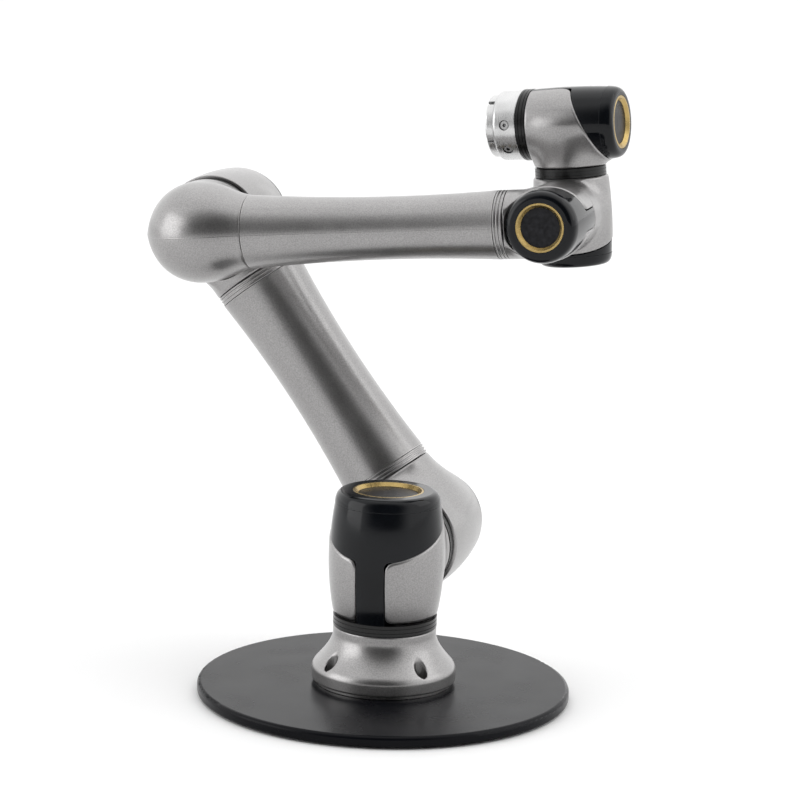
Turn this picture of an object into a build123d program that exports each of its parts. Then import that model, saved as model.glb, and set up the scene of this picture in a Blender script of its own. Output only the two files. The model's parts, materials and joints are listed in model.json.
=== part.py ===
from build123d import *
from dataclasses import dataclass
from math import cos, radians, sin
import os

os.makedirs("parts", exist_ok=True)

# Posable desktop replica of a six-axis collaborative robot arm, in millimetres.
# Origin: centre of the face that rests on the desk. +Z up. The arm's plane is XZ, and the shoulder, elbow and
# first wrist axes run along Y.

# ---------------------------------------------------------------- driving dimensions
PLATE_D = 125.0            # round base plate
PAD_T = 0.6                # rubber pad under the plate
PLATE_TOP = 4.3            # top face of the plate above the desk
PEDESTAL_TOP = 24.0        # pedestal rim, where the turret's swivel ring starts
SHOULDER_Z = 48.0          # height of the shoulder axis (J2)
UPPER_ARM = 126.0          # shoulder axis to elbow axis
UPPER_ARM_TILT = 36.5      # degrees from vertical, towards -X
FOREARM = 123.4            # elbow axis to first wrist axis
FOREARM_TILT = 5.4         # degrees above horizontal
WRIST_TURN = 5.0           # degrees that the last housing is turned about its own swivel (J5)

UPPER_ARM_Y = 42.0         # plane of the upper arm tube's axis
FOREARM_Y = 14.0           # plane of the forearm tube's axis
SHOULDER_FACE_Y = 19.8     # front face of the shoulder housing
ELBOW_FACE_Y = 30.35       # front face of the rear elbow housing
WRIST_CAP_Y = 1.4          # face of the first wrist housing's end cap
WRIST_FACE_Y = 29.1        # rear face of the first wrist housing
WRIST_2_Y = 47.0           # plane of the second wrist housing's axis
WRIST_3_RISE = 29.6        # last housing's axis above the first wrist axis

RING_T = 3.6               # black swivel rings of the large joints
SMALL_RING_T = 3.0         # black swivel rings of the wrist joints
GAP = 0.2                  # running gap between bodies
FIT = 0.04                 # radial clearance of the pivot screws
SEAM = 0.14                # visible line between panels of one body

BIG_WALL = 1.8
SMALL_WALL = 1.4
FLOOR = 2.6                # thickness of the wall that a pivot screw clamps
BIG_SCREW = 3.0            # shank radius of the pivot screws of J1 to J3
SMALL_SCREW = 2.0          # shank radius of the pivot screws of J4 to J6
COLLAR = 3.4               # length of the grooved collars at the tube ends

ARM_END_R = 15.7           # upper arm tube
ARM_WAIST_R = 13.9
FOREARM_ELBOW_R = 12.45    # forearm tube
FOREARM_WAIST_R = 10.5
FOREARM_WRIST_R = 11.4
ELBOW_SEAM = 20.3          # elbow axis to the seam of the forearm tube
ELBOW_BACK = 12.5          # rear face of the front elbow housing, behind the forearm's axis

PILOT_R = 5.25             # tool mount: pilot bore and bolt circle
PILOT_DEPTH = 2.2
TOOL_PCD = 16.67
TOOL_HOLE_R = 1.0
TOOL_HOLE_DEPTH = 3.0

# ---------------------------------------------------------------- directions and axis positions
ARM_DIR = Vector(-sin(radians(UPPER_ARM_TILT)), 0, cos(radians(UPPER_ARM_TILT)))
FORE_DIR = Vector(cos(radians(FOREARM_TILT)), 0, sin(radians(FOREARM_TILT)))
RISE_DIR = Vector(-sin(radians(FOREARM_TILT)), 0, cos(radians(FOREARM_TILT)))
UP = Vector(0, 0, 1)
BACK = Vector(0, 1, 0)
TOOL_DIR = (BACK * sin(radians(WRIST_TURN)) - FORE_DIR * cos(radians(WRIST_TURN)))

SHOULDER = Vector(0, 0, SHOULDER_Z)
ELBOW = SHOULDER + ARM_DIR * UPPER_ARM
WRIST = ELBOW + FORE_DIR * FOREARM
WRIST_2 = WRIST + BACK * WRIST_2_Y
WRIST_3 = WRIST_2 + RISE_DIR * WRIST_3_RISE

TURRET_FLOOR_Z = PEDESTAL_TOP + GAP + RING_T
WRIST_2_TOP = 12.1         # swivel face of the second wrist housing above the first wrist axis
WRIST_3_FOOT = 11.6        # swivel face of the last housing, from the J5 axis towards the tool
WRIST_3_PORT = WRIST_3_RISE - WRIST_2_TOP - GAP - SMALL_RING_T
FLANGE_FOOT = WRIST_3_FOOT + SMALL_RING_T + GAP


@dataclass
class Housing:
    """A joint housing: a bulged barrel with an end cap, and one branch square to it."""
    name: str
    frame: Plane               # origin on the foot face, z towards the cap, x towards the branch
    foot_r: float              # barrel radius at the foot
    mid_r: float               # barrel radius half way up
    seam_r: float              # barrel radius at the cap's seam
    seam_h: float              # height of the cap's seam
    cap_h: float               # height of the cap's face
    wall: float
    branch_h: float            # height of the branch's axis
    branch_r: float
    branch_bore: float
    branch_end: float          # end face of the branch, from the barrel's axis
    face_r: float              # flat of the cap's face
    trim_r: float              # outer radius of the gold trim ring
    disc_r: float              # radius of the disc inside the trim ring
    cover_h: float = 0.0       # height at which the cover's tilted edge crosses the axis
    cover_rise: float = 0.0    # rise of that edge from the axis to the branch side
    stem_w: float = 0.0        # width of the cover's stem

    @property
    def bore_r(self):
        return min(self.foot_r, self.seam_r) - self.wall

    @property
    def side(self):
        """Plane through the barrel's axis, with x towards the branch and y towards the cap."""
        return Plane(origin=self.frame.origin, x_dir=self.frame.x_dir, z_dir=-self.frame.y_dir)

    @property
    def barrel_axis(self):
        return Axis(self.frame.origin, self.frame.z_dir)

    def branch_view(self, distance):
        """Plane square to the branch, at a distance from the barrel's axis."""
        origin = self.frame.origin + self.frame.z_dir * self.branch_h + self.frame.x_dir * distance
        return Plane(origin=origin, x_dir=self.frame.y_dir, z_dir=self.frame.x_dir)


TURRET = Housing(
    "turret", Plane(origin=UP * TURRET_FLOOR_Z, x_dir=BACK, z_dir=UP),
    foot_r=17.3, mid_r=19.4, seam_r=17.9, seam_h=38.2, cap_h=42.4, wall=BIG_WALL,
    branch_h=SHOULDER_Z - TURRET_FLOOR_Z, branch_r=17.5, branch_bore=15.7, branch_end=SHOULDER_FACE_Y - RING_T - GAP,
    face_r=15.0, trim_r=11.85, disc_r=10.0, cover_h=29.8, cover_rise=8.3, stem_w=9.6)
SHOULDER_HOUSING = Housing(
    "shoulder", Plane(origin=SHOULDER + BACK * SHOULDER_FACE_Y, x_dir=ARM_DIR, z_dir=BACK),
    foot_r=18.5, mid_r=18.9, seam_r=17.2, seam_h=37.8, cap_h=42.0, wall=BIG_WALL,
    branch_h=UPPER_ARM_Y - SHOULDER_FACE_Y, branch_r=15.5, branch_bore=13.7, branch_end=21.2,
    face_r=13.6, trim_r=11.4, disc_r=9.6)
ELBOW_REAR = Housing(
    "elbow_rear", Plane(origin=ELBOW + BACK * ELBOW_FACE_Y, x_dir=-ARM_DIR, z_dir=BACK),
    foot_r=17.9, mid_r=18.4, seam_r=17.8, seam_h=27.6, cap_h=31.6, wall=BIG_WALL,
    branch_h=UPPER_ARM_Y - ELBOW_FACE_Y, branch_r=15.8, branch_bore=10.5, branch_end=21.2,
    face_r=14.2, trim_r=11.4, disc_r=9.6)
WRIST_1 = Housing(
    "wrist_1", Plane(origin=WRIST + BACK * WRIST_FACE_Y, x_dir=-FORE_DIR, z_dir=-BACK),
    foot_r=12.2, mid_r=12.5, seam_r=12.2, seam_h=23.9, cap_h=WRIST_FACE_Y - WRIST_CAP_Y, wall=SMALL_WALL,
    branch_h=WRIST_FACE_Y - FOREARM_Y, branch_r=11.4, branch_bore=8.5, branch_end=13.0,
    face_r=9.6, trim_r=8.15, disc_r=6.55, cover_h=18.6, cover_rise=7.0, stem_w=6.6)
WRIST_2_HOUSING = Housing(
    "wrist_2", Plane(origin=WRIST_2 + RISE_DIR * WRIST_2_TOP, x_dir=-BACK, z_dir=-RISE_DIR),
    foot_r=12.6, mid_r=13.2, seam_r=12.7, seam_h=26.2, cap_h=29.9, wall=SMALL_WALL,
    branch_h=WRIST_2_TOP, branch_r=12.0, branch_bore=10.4, branch_end=WRIST_2_Y - WRIST_FACE_Y - GAP,
    face_r=10.1, trim_r=8.4, disc_r=6.8, cover_h=22.4, cover_rise=3.4, stem_w=6.6)
WRIST_3_HOUSING = Housing(
    "wrist_3", Plane(origin=WRIST_3 + TOOL_DIR * WRIST_3_FOOT, x_dir=-RISE_DIR, z_dir=-TOOL_DIR),
    foot_r=12.1, mid_r=12.6, seam_r=12.3, seam_h=26.3, cap_h=30.5, wall=SMALL_WALL,
    branch_h=WRIST_3_FOOT, branch_r=11.4, branch_bore=8.9, branch_end=WRIST_3_PORT,
    face_r=10.0, trim_r=8.9, disc_r=7.2, cover_h=20.7, cover_rise=6.4, stem_w=6.2)

COVER_STEP = 0.25          # the black covers lie this much below the painted skin


def write(piece, name):
    """Label a finished piece and write its file."""
    piece.part.label = name
    export_step(piece.part, f"parts/{name}.step")


# ---------------------------------------------------------------- joint housings
def barrel(h, inset):
    """Solid barrel up to the cap's seam, its skin inset by a distance."""
    with BuildPart() as body:
        with BuildSketch(h.side):
            with BuildLine():
                skin = ThreePointArc((h.foot_r - inset, 0), (h.mid_r - inset, h.seam_h / 2),
                                     (h.seam_r - inset, h.seam_h))
                Polyline(skin @ 1, (0, h.seam_h), (0, 0), skin @ 0)
            make_face()
        revolve(axis=h.barrel_axis)
    return body.part


def cover_space(h, gap):
    """Space of the T-shaped cover: above a tilted plane, and a stem on the side away from the branch."""
    reach = 2 * h.mid_r
    slope = h.cover_rise / h.mid_r
    edge_dir = (h.frame.x_dir + h.frame.z_dir * slope).normalized()
    with BuildPart() as space:
        with BuildSketch(h.side):
            with BuildLine():
                Polyline((-reach, h.cover_h - slope * reach + gap), (reach, h.cover_h + slope * reach + gap),
                         (reach, h.seam_h + reach), (-reach, h.seam_h + reach), close=True)
            make_face()
        extrude(amount=reach, both=True)
        with BuildSketch(h.side):
            with BuildLine():
                Polyline((-reach, -1), (-h.bore_r / 2, -1), (-h.bore_r / 2, h.seam_h), (-reach, h.seam_h),
                         close=True)
            make_face()
        extrude(amount=h.stem_w / 2 - gap, both=True)
        corners = (space.edges()
                   .filter_by(lambda e: abs(abs((e % 0.5).dot(edge_dir)) - 1) < 1e-4)
                   .filter_by(lambda e: abs(h.frame.to_local_coords(e.center()).Y) < h.stem_w))
        fillet(corners, radius=h.stem_w / 6)
    return space.part


def painted_housing(h, port, child, screw_r, swept_r=0.0):
    """Silver shell. A port ends in a wall, a neck is open; the child side of a joint carries the screw boss."""
    boss_r = 2 * screw_r
    with BuildPart() as shell:
        add(barrel(h, 0))
        fillet(shell.edges().group_by(Axis(h.frame.origin, h.frame.z_dir))[0], radius=0.5)
        with BuildSketch(h.branch_view(0)):
            Circle(h.branch_r)
        extrude(amount=h.branch_end)
        if port:
            split(bisect_by=h.branch_view(h.branch_end), keep=Keep.BOTTOM)
        if swept_r:
            # clears the neighbour that turns in front of the foot face
            with BuildSketch(h.frame):
                Circle(swept_r)
            extrude(amount=-h.branch_r, mode=Mode.SUBTRACT)
        # clears the end cap where the branch stands higher than the cap's seam
        with BuildSketch(h.frame.offset(h.seam_h)):
            Circle(h.seam_r + SEAM)
        extrude(amount=h.cap_h, mode=Mode.SUBTRACT)
        with BuildSketch(h.frame.offset(FLOOR)):
            Circle(h.bore_r)
        extrude(amount=h.seam_h, mode=Mode.SUBTRACT)
        with BuildSketch(h.branch_view(0)):
            Circle(h.branch_bore)
        extrude(amount=h.branch_end - (FLOOR if port else 0), mode=Mode.SUBTRACT)
        if port:
            with BuildSketch(h.branch_view(h.branch_end - FLOOR)):
                Circle(h.branch_bore + h.wall / 2)
            extrude(amount=FLOOR)
        if h.cover_rise:
            add(cover_space(h, -SEAM), mode=Mode.SUBTRACT)
        # the floor is whole behind the cover's stem and under the branch's bore
        with BuildSketch(h.frame):
            Circle(h.bore_r - 0.1)
        extrude(amount=FLOOR)
        if child == "foot":
            with BuildSketch(h.frame.offset(FLOOR)):
                Circle(boss_r)
            extrude(amount=screw_r)
        with BuildSketch(h.frame):
            Circle(screw_r + FIT)
        extrude(amount=2 * FLOOR, mode=Mode.SUBTRACT)
        if child == "port":
            with BuildSketch(h.branch_view(h.branch_end - FLOOR)):
                Circle(boss_r)
            extrude(amount=-screw_r)
        if port:
            with BuildSketch(h.branch_view(h.branch_end)):
                Circle(screw_r + FIT)
            extrude(amount=-2 * FLOOR, mode=Mode.SUBTRACT)
    write(shell, f"{h.name}_housing")


def black_cover(h, beyond_port):
    """Gloss black T-shaped cover, a little below the painted skin."""
    with BuildPart() as cover:
        add(barrel(h, COVER_STEP))
        with BuildSketch(h.frame):
            Circle(h.bore_r)
        extrude(amount=h.seam_h, mode=Mode.SUBTRACT)
        add(cover_space(h, SEAM / 2), mode=Mode.INTERSECT)
        if beyond_port:
            split(bisect_by=h.branch_view(h.branch_end), keep=Keep.BOTTOM)
    write(cover, f"{h.name}_cover")


def end_cap(h):
    """Gloss black cap: a rounded rim, a spigot inside the barrel, and a recess for the trim ring and disc."""
    rim = h.cap_h - h.seam_h
    depth = 0.45 * rim
    with BuildPart() as cap:
        with BuildSketch(h.side):
            with BuildLine():
                foot = Line((0, h.seam_h + SEAM), (h.seam_r - SEAM, h.seam_h + SEAM))
                skin = Spline(foot @ 1, (h.face_r, h.cap_h), tangents=[(-0.12, 1), (-1, 0.12)])
                Polyline(skin @ 1, (0, h.cap_h), foot @ 0)
            make_face()
        revolve(axis=h.barrel_axis)
        with BuildSketch(h.frame.offset(h.cap_h)):
            Circle(h.trim_r + 0.05)
        extrude(amount=-depth, mode=Mode.SUBTRACT)
        with BuildSketch(h.frame.offset(h.seam_h + SEAM)):
            Circle(h.bore_r - 0.1)
            Circle(h.bore_r - 1.1, mode=Mode.SUBTRACT)
        extrude(amount=-1.6)
    write(cap, f"{h.name}_cap")

    with BuildPart() as trim:
        with BuildSketch(h.side):
            with BuildLine():
                Polyline((h.trim_r, h.cap_h - depth), (h.trim_r, h.cap_h - 0.15), (h.trim_r - 0.15, h.cap_h),
                         (h.trim_r - 0.7, h.cap_h), (h.disc_r + 0.05, h.cap_h - 0.6 * depth),
                         (h.disc_r + 0.05, h.cap_h - depth), close=True)
            make_face()
        revolve(axis=h.barrel_axis)
    write(trim, f"{h.name}_trim_ring")

    with BuildPart() as disc:
        with BuildSketch(h.frame.offset(h.cap_h - depth)):
            Circle(h.disc_r)
        extrude(amount=0.35 * depth)
        fillet(disc.edges().group_by(Axis(h.frame.origin, h.frame.z_dir))[-1], radius=0.1)
    write(disc, f"{h.name}_cap_disc")


# ---------------------------------------------------------------- swivel rings, pivot screws, washers
def swivel_ring(name, plane, radius, thickness, screw_r):
    """Black ring between two housings, with three fine grooves round it."""
    with BuildPart() as ring:
        with BuildSketch(plane):
            Circle(radius)
            Circle(screw_r + FIT, mode=Mode.SUBTRACT)
        extrude(amount=thickness)
        groove_face = Plane(origin=plane.origin, x_dir=plane.x_dir, z_dir=-plane.y_dir)
        with BuildSketch(groove_face):
            for share in (0.3, 0.7):
                with Locations((radius, share * thickness)):
                    Rectangle(0.5, 0.22)
        revolve(axis=Axis(plane.origin, plane.z_dir), mode=Mode.SUBTRACT)
    write(ring, name)


def pivot(number, plane, screw_r, length):
    """Shoulder screw whose head clamps a friction washer on the parent's wall; plane z points to the child."""
    head_r = 1.75 * screw_r
    head_h = screw_r
    washer_t = 0.5
    with BuildPart() as screw:
        with BuildSketch(plane.offset(-washer_t - 0.05)):
            Circle(head_r)
        extrude(amount=-head_h)
        fillet(screw.edges().group_by(Axis(plane.origin, plane.z_dir))[0], radius=0.3)
        with BuildSketch(plane.offset(-washer_t - 0.05)):
            Circle(screw_r)
        extrude(amount=length + washer_t)
        with BuildSketch(plane.offset(-washer_t - 0.05 - head_h)):
            RegularPolygon(0.9 * screw_r, 6)
        extrude(amount=0.6 * head_h, mode=Mode.SUBTRACT)
    write(screw, f"pivot_screw_{number}")
    with BuildPart() as washer:
        with BuildSketch(plane):
            Circle(head_r + 0.6)
            Circle(screw_r + FIT, mode=Mode.SUBTRACT)
        extrude(amount=-washer_t)
    write(washer, f"friction_washer_{number}")


# ---------------------------------------------------------------- base
def base():
    """Rubber pad, round plate, flared pedestal and its four screws."""
    plate_r = PLATE_D / 2
    foot_r = 24.2
    screw_circle = 21.2
    first_pocket = 52.0      # degrees from +Y towards -X
    pocket_floor = 7.4
    rim_r = 17.3

    with BuildPart() as pad:
        with BuildSketch(Plane.XY):
            Circle(plate_r - 2.5)
        extrude(amount=PAD_T)
    write(pad, "foot_pad")

    with BuildPart() as plate:
        with BuildSketch(Plane.XY.offset(PAD_T)):
            Circle(plate_r)
        extrude(amount=PLATE_TOP - PAD_T)
        fillet(plate.edges().group_by(Axis.Z)[-1], radius=1.3)
        fillet(plate.edges().group_by(Axis.Z)[0], radius=0.8)
        with Locations(Plane.XY.offset(PLATE_TOP)):
            with PolarLocations(screw_circle, 4, start_angle=90 + first_pocket):
                Hole(radius=1.25 + FIT, depth=PLATE_TOP - PAD_T)
    write(plate, "base_plate")

    with BuildPart() as pedestal:
        with BuildSketch(Plane.XZ):
            with BuildLine():
                skirt = Polyline((23.5, PLATE_TOP), (23.5, PLATE_TOP + 0.5), (foot_r, PLATE_TOP + 1.0),
                                 (foot_r, 9.6))
                flare = Spline(skirt @ 1, (22.9, 12.3), (19.7, 15.7), (rim_r, PEDESTAL_TOP - 2.2),
                               tangents=[(0, 1), (0, 1)])
                Polyline(flare @ 1, (rim_r, PEDESTAL_TOP - 0.3), (rim_r - 0.3, PEDESTAL_TOP),
                         (0, PEDESTAL_TOP), (0, PEDESTAL_TOP - FLOOR), (13.5, PEDESTAL_TOP - FLOOR),
                         (15.0, PEDESTAL_TOP - 6.0), (17.6, 10.5), (17.6, PLATE_TOP), skirt @ 0)
            make_face()
        revolve(axis=Axis.Z)
        with Locations(Plane.XY.offset(PEDESTAL_TOP)):
            Hole(radius=BIG_SCREW + FIT, depth=2 * FLOOR)
        with BuildSketch(Plane.XY.offset(pocket_floor)):
            with PolarLocations(screw_circle, 4, start_angle=90 + first_pocket):
                Circle(2.1)
        extrude(amount=PEDESTAL_TOP, mode=Mode.SUBTRACT)
        with BuildSketch(Plane.XY.offset(PLATE_TOP)):
            with PolarLocations(screw_circle, 4, start_angle=90 + first_pocket):
                Circle(1.25 + FIT)
        extrude(amount=pocket_floor - PLATE_TOP, mode=Mode.SUBTRACT)
    write(pedestal, "pedestal")

    with BuildPart() as screws:
        with BuildSketch(Plane.XY.offset(PAD_T + 0.4)):
            with PolarLocations(screw_circle, 4, start_angle=90 + first_pocket):
                Circle(1.25)
        extrude(amount=pocket_floor - PAD_T - 0.4)
        with BuildSketch(Plane.XY.offset(pocket_floor)):
            with PolarLocations(screw_circle, 4, start_angle=90 + first_pocket):
                Circle(1.95)
        extrude(amount=1.8)
        with BuildSketch(Plane.XY.offset(pocket_floor + 1.8)):
            with PolarLocations(screw_circle, 4, start_angle=90 + first_pocket):
                RegularPolygon(1.0, 6)
        extrude(amount=-1.0, mode=Mode.SUBTRACT)
    write(screws, "pedestal_screws")


# ---------------------------------------------------------------- elbow front housing
def elbow_front():
    """Domed housing of the forearm, with a conical neck that runs into the forearm tube."""
    face_y = FOREARM_Y + ELBOW_BACK
    dome_r = 17.3
    dome_depth = 18.6
    equator = 4.0            # where the dome turns into a cylinder, behind the forearm's axis
    core_r = dome_r - BIG_WALL
    core_depth = dome_depth - BIG_WALL
    spigot_r = FOREARM_ELBOW_R - BIG_WALL - 0.15
    side = Plane(origin=ELBOW + BACK * FOREARM_Y, x_dir=FORE_DIR, z_dir=RISE_DIR)
    turn_axis = Axis(ELBOW, BACK)
    tube_axis = Axis(ELBOW + BACK * FOREARM_Y, FORE_DIR)
    with BuildPart() as shell:
        with BuildSketch(side):
            with BuildLine():
                dome = Spline((0, equator - dome_depth), (0.71 * dome_r, equator - 0.71 * dome_depth),
                              (dome_r, equator), tangents=[(1, 0), (0, 1)])
                Polyline(dome @ 1, (dome_r, ELBOW_BACK), (0, ELBOW_BACK), dome @ 0)
            make_face()
        revolve(axis=turn_axis)
        with BuildSketch(side):
            with BuildLine():
                neck = Spline((2, 13.8), (10, 14.5), (ELBOW_SEAM, FOREARM_ELBOW_R),
                              tangents=[(1, 0.1), (1, -0.09)])
                Polyline(neck @ 1, (ELBOW_SEAM, spigot_r), (ELBOW_SEAM + 3, spigot_r - 0.4),
                         (ELBOW_SEAM + 3, 0), (2, 0), neck @ 0)
            make_face()
        revolve(axis=tube_axis)
        split(bisect_by=Plane(origin=ELBOW + BACK * face_y, x_dir=FORE_DIR, z_dir=BACK), keep=Keep.BOTTOM)
        # hollow, open to the tube
        with BuildSketch(side):
            with BuildLine():
                core = Spline((0, equator - core_depth), (0.71 * core_r, equator - 0.71 * core_depth),
                              (core_r, equator), tangents=[(1, 0), (0, 1)])
                Polyline(core @ 1, (core_r, ELBOW_BACK - FLOOR), (0, ELBOW_BACK - FLOOR), core @ 0)
            make_face()
        revolve(axis=turn_axis, mode=Mode.SUBTRACT)
        with BuildSketch(Plane(origin=ELBOW + BACK * FOREARM_Y, x_dir=BACK, z_dir=FORE_DIR)):
            Circle(spigot_r - 1.2)
        extrude(amount=ELBOW_SEAM + 3, mode=Mode.SUBTRACT)
        with BuildSketch(Plane(origin=ELBOW + BACK * face_y, x_dir=FORE_DIR, z_dir=-BACK)):
            Circle(core_r - 0.5)
        extrude(amount=FLOOR)
        with BuildSketch(Plane(origin=ELBOW + BACK * face_y, x_dir=FORE_DIR, z_dir=-BACK)):
            Circle(2 * BIG_SCREW)
        extrude(amount=FLOOR + BIG_SCREW)
        with BuildSketch(Plane(origin=ELBOW + BACK * face_y, x_dir=FORE_DIR, z_dir=-BACK)):
            Circle(BIG_SCREW + FIT)
        extrude(amount=2 * FLOOR, mode=Mode.SUBTRACT)
    write(shell, "elbow_front_housing")


# ---------------------------------------------------------------- tubes and collars
def waisted_tube(name, start, direction, length, start_r, waist_r, end_r):
    """Tube that narrows in the middle, with a wall of even thickness."""
    side = Plane(origin=start, x_dir=direction, z_dir=BACK)
    with BuildPart() as tube:
        with BuildSketch(side):
            with BuildLine():
                outer = ThreePointArc((0, start_r), (length / 2, waist_r), (length, end_r))
                inner = ThreePointArc((length, end_r - BIG_WALL), (length / 2, waist_r - BIG_WALL),
                                      (0, start_r - BIG_WALL))
                Line(outer @ 1, inner @ 0)
                Line(inner @ 1, outer @ 0)
            make_face()
        revolve(axis=Axis(start, direction))
    write(tube, name)


def grooved_collar(name, start, direction, length, radius, neck_bore):
    """Collar between a housing's neck and a tube: two turned grooves, and a spigot into each of them."""
    side = Plane(origin=start, x_dir=direction, z_dir=BACK)
    bore_r = neck_bore - 1.5
    with BuildPart() as collar:
        with BuildSketch(side):
            with BuildLine():
                Polyline((-2, bore_r), (-2, neck_bore - 0.1), (SEAM, neck_bore - 0.1), (SEAM, radius),
                         (length - SEAM, radius), (length - SEAM, radius - BIG_WALL - 0.1),
                         (length + 3, radius - BIG_WALL - 0.4), (length + 3, bore_r), close=True)
            make_face()
            for share in (0.36, 0.7):
                with Locations((share * length, radius)):
                    Rectangle(0.45, 0.6, mode=Mode.SUBTRACT)
        revolve(axis=Axis(start, direction))
    write(collar, name)


# ---------------------------------------------------------------- tool flange
def tool_end():
    """Bright tool flange with a notched lip, side screws, a pilot bore and a bolt circle."""
    body_r = 11.7
    body_len = 8.2
    lip_r = 10.5
    lip_len = 2.9
    screw_height = 3.9
    screw_angles = (5, -40, 185, 140)    # up from the horizontal on the front side
    notch_angles = (51, -22, 231, 158)
    foot = Plane(origin=WRIST_3 + TOOL_DIR * FLANGE_FOOT, x_dir=RISE_DIR.cross(TOOL_DIR), z_dir=TOOL_DIR)
    with BuildPart() as flange:
        with BuildSketch(foot):
            Circle(body_r)
        extrude(amount=body_len)
        fillet(flange.edges().group_by(Axis(foot.origin, foot.z_dir))[-1], radius=1.0)
        fillet(flange.edges().group_by(Axis(foot.origin, foot.z_dir))[0], radius=0.4)
        with BuildSketch(foot.offset(body_len)):
            Circle(lip_r)
        extrude(amount=lip_len)
        fillet(flange.edges().group_by(Axis(foot.origin, foot.z_dir))[-1], radius=0.6)
        with BuildSketch(foot.offset(body_len + lip_len)):
            Circle(PILOT_R)
        extrude(amount=-PILOT_DEPTH, mode=Mode.SUBTRACT)
        with BuildSketch(foot.offset(body_len + lip_len)):
            with PolarLocations(TOOL_PCD / 2, 4, start_angle=45):
                Circle(TOOL_HOLE_R)
        extrude(amount=-TOOL_HOLE_DEPTH, mode=Mode.SUBTRACT)
        with BuildSketch(foot):
            Circle(SMALL_SCREW + FIT)
        extrude(amount=4.4, mode=Mode.SUBTRACT)
        for angle in notch_angles:
            with BuildSketch(side_plane(foot, angle, body_len + 0.4 + lip_len / 2, lip_r - 0.8)):
                Rectangle(lip_len, 1.8)
            extrude(amount=2, mode=Mode.SUBTRACT)
        for angle in screw_angles:
            with BuildSketch(side_plane(foot, angle, screw_height, body_r + 1)):
                Circle(1.75)
            extrude(amount=-2.2, mode=Mode.SUBTRACT)
    write(flange, "tool_flange")

    with BuildPart() as screws:
        for angle in screw_angles:
            with BuildSketch(side_plane(foot, angle, screw_height, body_r - 1.2)):
                Circle(1.35)
            extrude(amount=0.8)
            with BuildSketch(side_plane(foot, angle, screw_height, body_r - 0.4)):
                RegularPolygon(0.7, 6)
            extrude(amount=-0.6, mode=Mode.SUBTRACT)
    write(screws, "flange_screws")


def side_plane(foot, angle, height, radius):
    """Plane facing outwards on the side of a cylinder, at an angle round it and a height along it."""
    outwards = foot.x_dir * cos(radians(angle)) + foot.y_dir * sin(radians(angle))
    return Plane(origin=foot.origin + foot.z_dir * height + outwards * radius, x_dir=foot.z_dir, z_dir=outwards)


# ---------------------------------------------------------------- the assembly
def tubes():
    """Upper arm tube between its two collars, forearm tube and its collar."""
    arm_start = SHOULDER + BACK * UPPER_ARM_Y + ARM_DIR * SHOULDER_HOUSING.branch_end
    arm_end = ELBOW + BACK * UPPER_ARM_Y - ARM_DIR * ELBOW_REAR.branch_end
    arm_len = (arm_end - arm_start).length - 2 * COLLAR
    grooved_collar("lower_collar", arm_start, ARM_DIR, COLLAR, ARM_END_R, SHOULDER_HOUSING.branch_bore)
    grooved_collar("upper_collar", arm_end, -ARM_DIR, COLLAR, ARM_END_R, ELBOW_REAR.branch_bore)
    waisted_tube("upper_arm_tube", arm_start + ARM_DIR * COLLAR, ARM_DIR, arm_len, ARM_END_R, ARM_WAIST_R,
                 ARM_END_R)

    fore_start = ELBOW + BACK * FOREARM_Y + FORE_DIR * (ELBOW_SEAM + SEAM)
    fore_end = WRIST + BACK * FOREARM_Y - FORE_DIR * WRIST_1.branch_end
    fore_len = (fore_end - fore_start).length - COLLAR
    waisted_tube("forearm_tube", fore_start, FORE_DIR, fore_len, FOREARM_ELBOW_R, FOREARM_WAIST_R,
                 FOREARM_WRIST_R)
    grooved_collar("forearm_collar", fore_end, -FORE_DIR, COLLAR, FOREARM_WRIST_R, WRIST_1.branch_bore)


def joints():
    """Swivel rings, pivot screws and friction washers of the six joints."""
    shoulder_back = Plane(origin=SHOULDER, x_dir=Vector(1, 0, 0), z_dir=BACK)
    elbow_front_dir = Plane(origin=ELBOW, x_dir=Vector(1, 0, 0), z_dir=-BACK)
    wrist_back = Plane(origin=WRIST, x_dir=FORE_DIR, z_dir=BACK)
    rise = Plane(origin=WRIST_2, x_dir=FORE_DIR, z_dir=RISE_DIR)
    tool = Plane(origin=WRIST_3, x_dir=RISE_DIR, z_dir=TOOL_DIR)
    big_reach = FLOOR + GAP + RING_T + FLOOR + BIG_SCREW - 0.5
    small_reach = FLOOR + GAP + FLOOR + SMALL_SCREW - 0.5

    swivel_ring("turret_ring", Plane.XY.offset(PEDESTAL_TOP + GAP), 17.4, RING_T, BIG_SCREW)
    pivot(1, Plane.XY.offset(PEDESTAL_TOP - FLOOR), BIG_SCREW, big_reach)

    swivel_ring("shoulder_ring", shoulder_back.offset(SHOULDER_FACE_Y - RING_T), 17.6, RING_T, BIG_SCREW)
    pivot(2, shoulder_back.offset(SHOULDER_FACE_Y - RING_T - GAP - FLOOR), BIG_SCREW, big_reach)

    ring_t = ELBOW_FACE_Y - GAP - FOREARM_Y - ELBOW_BACK
    swivel_ring("elbow_ring", elbow_front_dir.offset(GAP - ELBOW_FACE_Y), 17.0, ring_t, BIG_SCREW)
    pivot(3, elbow_front_dir.offset(-ELBOW_FACE_Y - FLOOR), BIG_SCREW, big_reach)

    pivot(4, wrist_back.offset(WRIST_FACE_Y - FLOOR), SMALL_SCREW, small_reach)

    swivel_ring("wrist_2_ring", rise.offset(WRIST_2_TOP + GAP), 12.0, SMALL_RING_T, SMALL_SCREW)
    pivot(5, rise.offset(WRIST_2_TOP - FLOOR), SMALL_SCREW, small_reach + SMALL_RING_T)

    swivel_ring("wrist_3_ring", tool.offset(WRIST_3_FOOT), 12.0, SMALL_RING_T, SMALL_SCREW)
    pivot(6, tool.offset(WRIST_3_FOOT - FLOOR), SMALL_SCREW, small_reach + SMALL_RING_T)


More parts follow.
